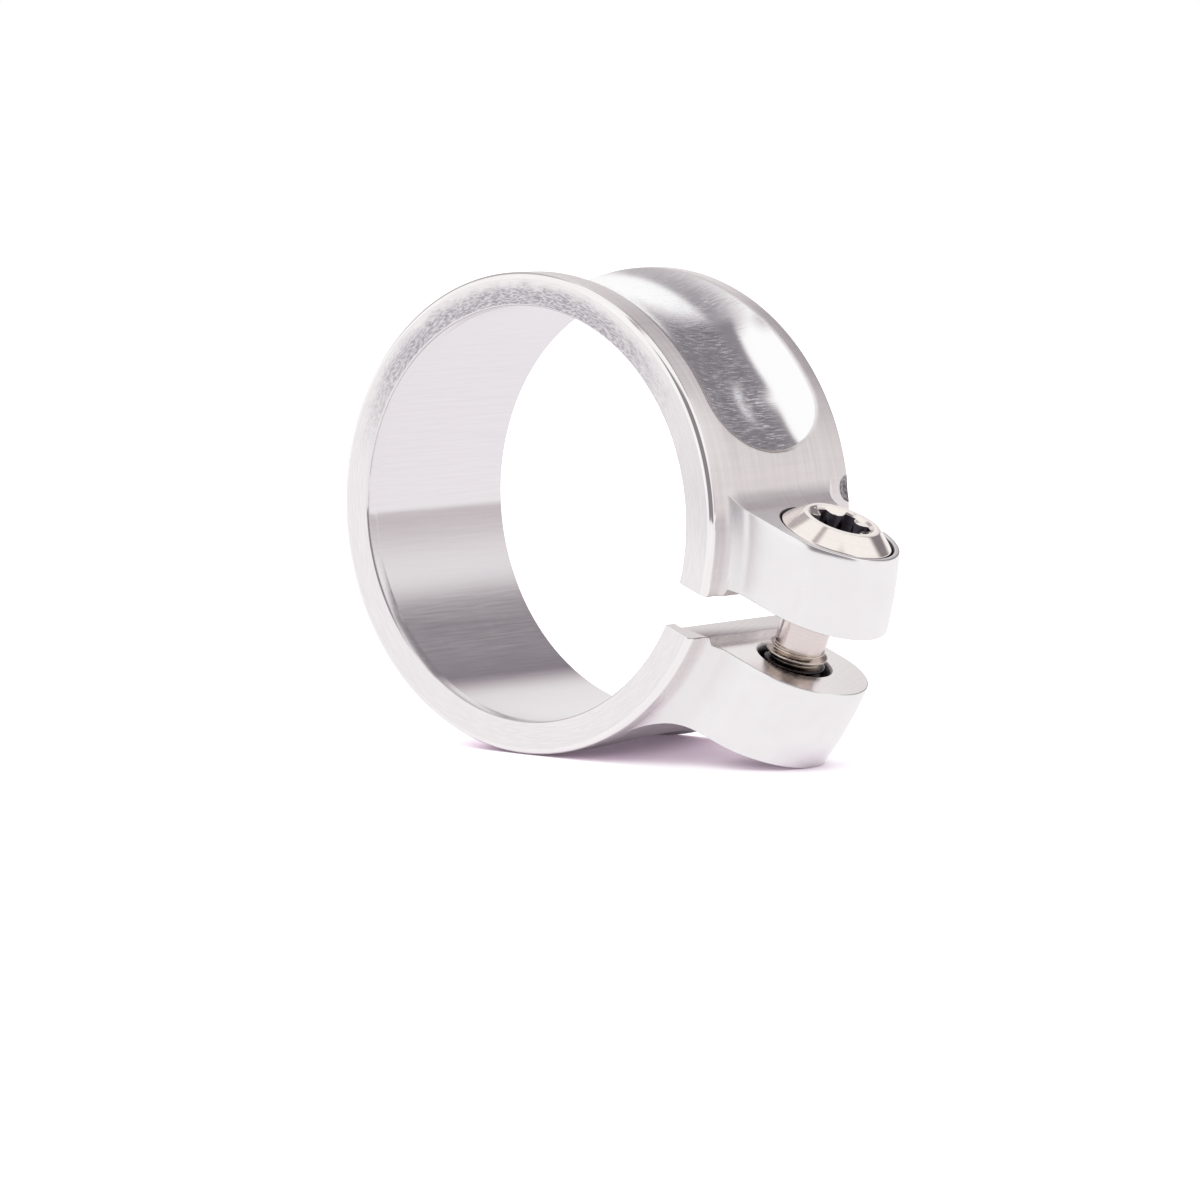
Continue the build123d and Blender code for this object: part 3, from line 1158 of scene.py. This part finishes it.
# Floor colours from the painted shadow's mauve to white
FLOOR_TINTS = [
    (0.0, (0.88, 0.66, 0.85)),
    (1.0, (0.97, 0.955, 0.97)),
]
CONTACT_REACH = 0.0055
CONTACT_SAMPLES = 8
SEEN_RANGE = (0.05, 0.6)
SEEN_DARKEST = 0.2
MIRRORED_RANGE = (0.04, 0.45)
MIRRORED_DARKEST = 0.06


def build_world():
    """White tent with its darker panels. The camera itself sees plain white."""
    world = bpy.data.worlds.new("tent")
    bpy.context.scene.world = world
    tree = Tree(world)
    x, y, z = tree.split(tree.node("TexCoord").outputs["Generated"])
    lift = tree.math("DEGREES", tree.math("ARCSINE", z))

    def swing_from(heading):
        """Degrees round the vertical from a heading."""
        turn = math.radians(heading)
        ahead = tree.plus(tree.product(x, math.sin(turn)), y, math.cos(turn))
        aside = tree.plus(tree.product(x, math.cos(turn)), y, -math.sin(turn))
        return tree.math("DEGREES", tree.math("ARCTAN2", aside, ahead))

    swing = swing_from(0.0)

    def window(left, right, bottom, top):
        """One inside a panel and zero outside."""
        return tree.product(
            tree.ease(swing, *left),
            tree.ease(swing, *right, 1, 0),
            tree.ease(lift, *bottom),
            tree.ease(lift, *top, 1, 0),
        )

    back = tree.product(
        tree.ease(tree.plus(swing, lift, -BACK_LEFT_LEAN), -43, -31),
        tree.ease(tree.plus(swing, lift, -BACK_RIGHT_LEAN), 15, 27, 1, 0),
        tree.ease(lift, 9, 15),
        tree.ease(tree.plus(lift, swing, BACK_TOP_LEAN), 53.8, 58.2, 1, 0),
    )
    off_swing = tree.math("SUBTRACT", swing, ARCH_SWING)
    off_lift = tree.math("SUBTRACT", lift, ARCH_LIFT)
    reach = tree.length(tree.vector(off_swing, off_lift))
    arch = tree.product(
        tree.ease(reach, 33, 37),
        tree.ease(reach, 40, 62, 1, 0),
        tree.ease(swing, -50, -22, 0.78, 1.0),
        tree.ease(swing, 2, 14, 1, 0),
        tree.ease(lift, 8, 22),
    )
    shade = tree.math("MAXIMUM", tree.product(back, 1 - BACK_PANEL), tree.product(arch, 1 - ARCH_PANEL))
    from_camera = tree.math("ABSOLUTE", swing_from(CAMERA_HEADING))
    round_camera = tree.product(
        tree.ease(from_camera, 32, 44, 1, 0),
        tree.ease(lift, -12, -8),
        tree.ease(lift, 42, 56, 1, 0),
    )
    seam = tree.product(tree.ease(x, 0.02, 0.1), tree.ease(x, 0.13, 0.25, 1, 0), tree.ease(z, 0.86, 0.94))
    panels = (
        (window(*SIDE_WINDOW), SIDE_PANEL),
        (round_camera, CAMERA_PANEL),
        (window(*BACKDROP_WINDOW), BACKDROP),
        (seam, SEAM),
    )
    level = tree.math("SUBTRACT", 1.0, shade)
    for panel, brightness in panels:
        level = tree.product(level, tree.plus(1.0, panel, brightness - 1))
    level = tree.plus(level, window(*SPOT_WINDOW), SPOT)
    seen = tree.math("MAXIMUM", level, tree.node("LightPath").outputs["Is Camera Ray"])
    tree.put(tree.ramp(seen, TENT_TINTS), tree.nodes["Background"].inputs["Color"])


def build_floor():
    """White floor with soft shadows, partly real and partly painted from ambient occlusion. The metal mirrors
    it unlit, with a painted shadow close underneath.
    """
    mesh = bpy.data.meshes.new("floor")
    corners = [
        (-FLOOR_FAR, -FLOOR_FRONT, FLOOR_Z),
        (FLOOR_FRONT, -FLOOR_FRONT, FLOOR_Z),
        (FLOOR_FRONT, FLOOR_FAR, FLOOR_Z),
        (-FLOOR_FAR, FLOOR_FAR, FLOOR_Z),
    ]
    mesh.from_pydata(corners, [], [(0, 1, 2, 3)])
    floor = add_object("floor", mesh)
    material = bpy.data.materials.new("floor")
    tree = Tree(material)
    tree.nodes.remove(tree.nodes["Principled BSDF"])
    rays = tree.node("LightPath").outputs
    near = tree.node("AmbientOcclusion", Distance=CONTACT_REACH)
    near.samples = CONTACT_SAMPLES
    openness = near.outputs["AO"]
    open_seen = tree.ease(openness, *SEEN_RANGE, SEEN_DARKEST, 1.0)
    open_mirrored = tree.ease(openness, *MIRRORED_RANGE, MIRRORED_DARKEST, 1.0)
    tint = tree.ramp(open_seen, FLOOR_TINTS)
    paper = tree.node("BsdfDiffuse", Color=tint)
    seen_glow = tree.product(rays["Is Camera Ray"], open_seen, FLOOR_GLOW)
    glow = tree.node("Emission", Color=tint, Strength=seen_glow)
    reflected = tree.node("Emission", Color=tint, Strength=open_mirrored)
    lit = tree.node("AddShader")
    tree.put(paper.outputs[0], lit.inputs[0])
    tree.put(glow.outputs[0], lit.inputs[1])
    choice = tree.node("MixShader")
    tree.put(rays["Is Glossy Ray"], choice.inputs[0])
    tree.put(lit.outputs[0], choice.inputs[1])
    tree.put(reflected.outputs[0], choice.inputs[2])
    tree.put(choice.outputs[0], tree.nodes["Material Output"].inputs["Surface"])
    mesh.materials.append(material)


# Side lamp
LAMP_LIFT = math.radians(32)
LAMP_STRENGTH = 1.6
LAMP_SOFTNESS = math.radians(20)


def build_lamp():
    """Soft lamp from the left that lights the floor alone, because the metal doesn't mirror it."""
    data = bpy.data.lights.new("side_lamp", "SUN")
    data.energy = LAMP_STRENGTH
    data.angle = LAMP_SOFTNESS
    lamp = add_object("side_lamp", data)
    shine = Vector((math.cos(LAMP_LIFT), 0, -math.sin(LAMP_LIFT)))
    lamp.rotation_euler = shine.to_track_quat("-Z", "Y").to_euler()
    lamp.visible_glossy = False


# Camera: its place in metres, the direction it stands in, in radians, and its lens
CAMERA_PLACE = Vector((0.24562, -0.29689, 0.03130))
CAMERA_SWING = 0.6907
CAMERA_LIFT = 0.1008
FOCAL_PIXELS = 4706.8
IMAGE_WIDTH = 1200
SENSOR = 36.0
CLIP_START = 0.01


def build_camera():
    """Camera at the photograph's viewing angle."""
    back = Vector((
        math.sin(CAMERA_SWING) * math.cos(CAMERA_LIFT),
        -math.cos(CAMERA_SWING) * math.cos(CAMERA_LIFT),
        math.sin(CAMERA_LIFT),
    ))
    right = Vector((0, 0, 1)).cross(back).normalized()
    up = back.cross(right)
    data = bpy.data.cameras.new("camera")
    data.sensor_width = SENSOR
    data.lens = SENSOR * FOCAL_PIXELS / IMAGE_WIDTH
    data.clip_start = CLIP_START
    camera = add_object("camera", data)
    turn = Matrix((right, up, back)).transposed().to_4x4()
    camera.matrix_world = Matrix.Translation(CAMERA_PLACE) @ turn
    bpy.context.scene.camera = camera


build_world()
build_floor()
build_lamp()
build_camera()
bpy.context.scene.view_settings.view_transform = "Standard"
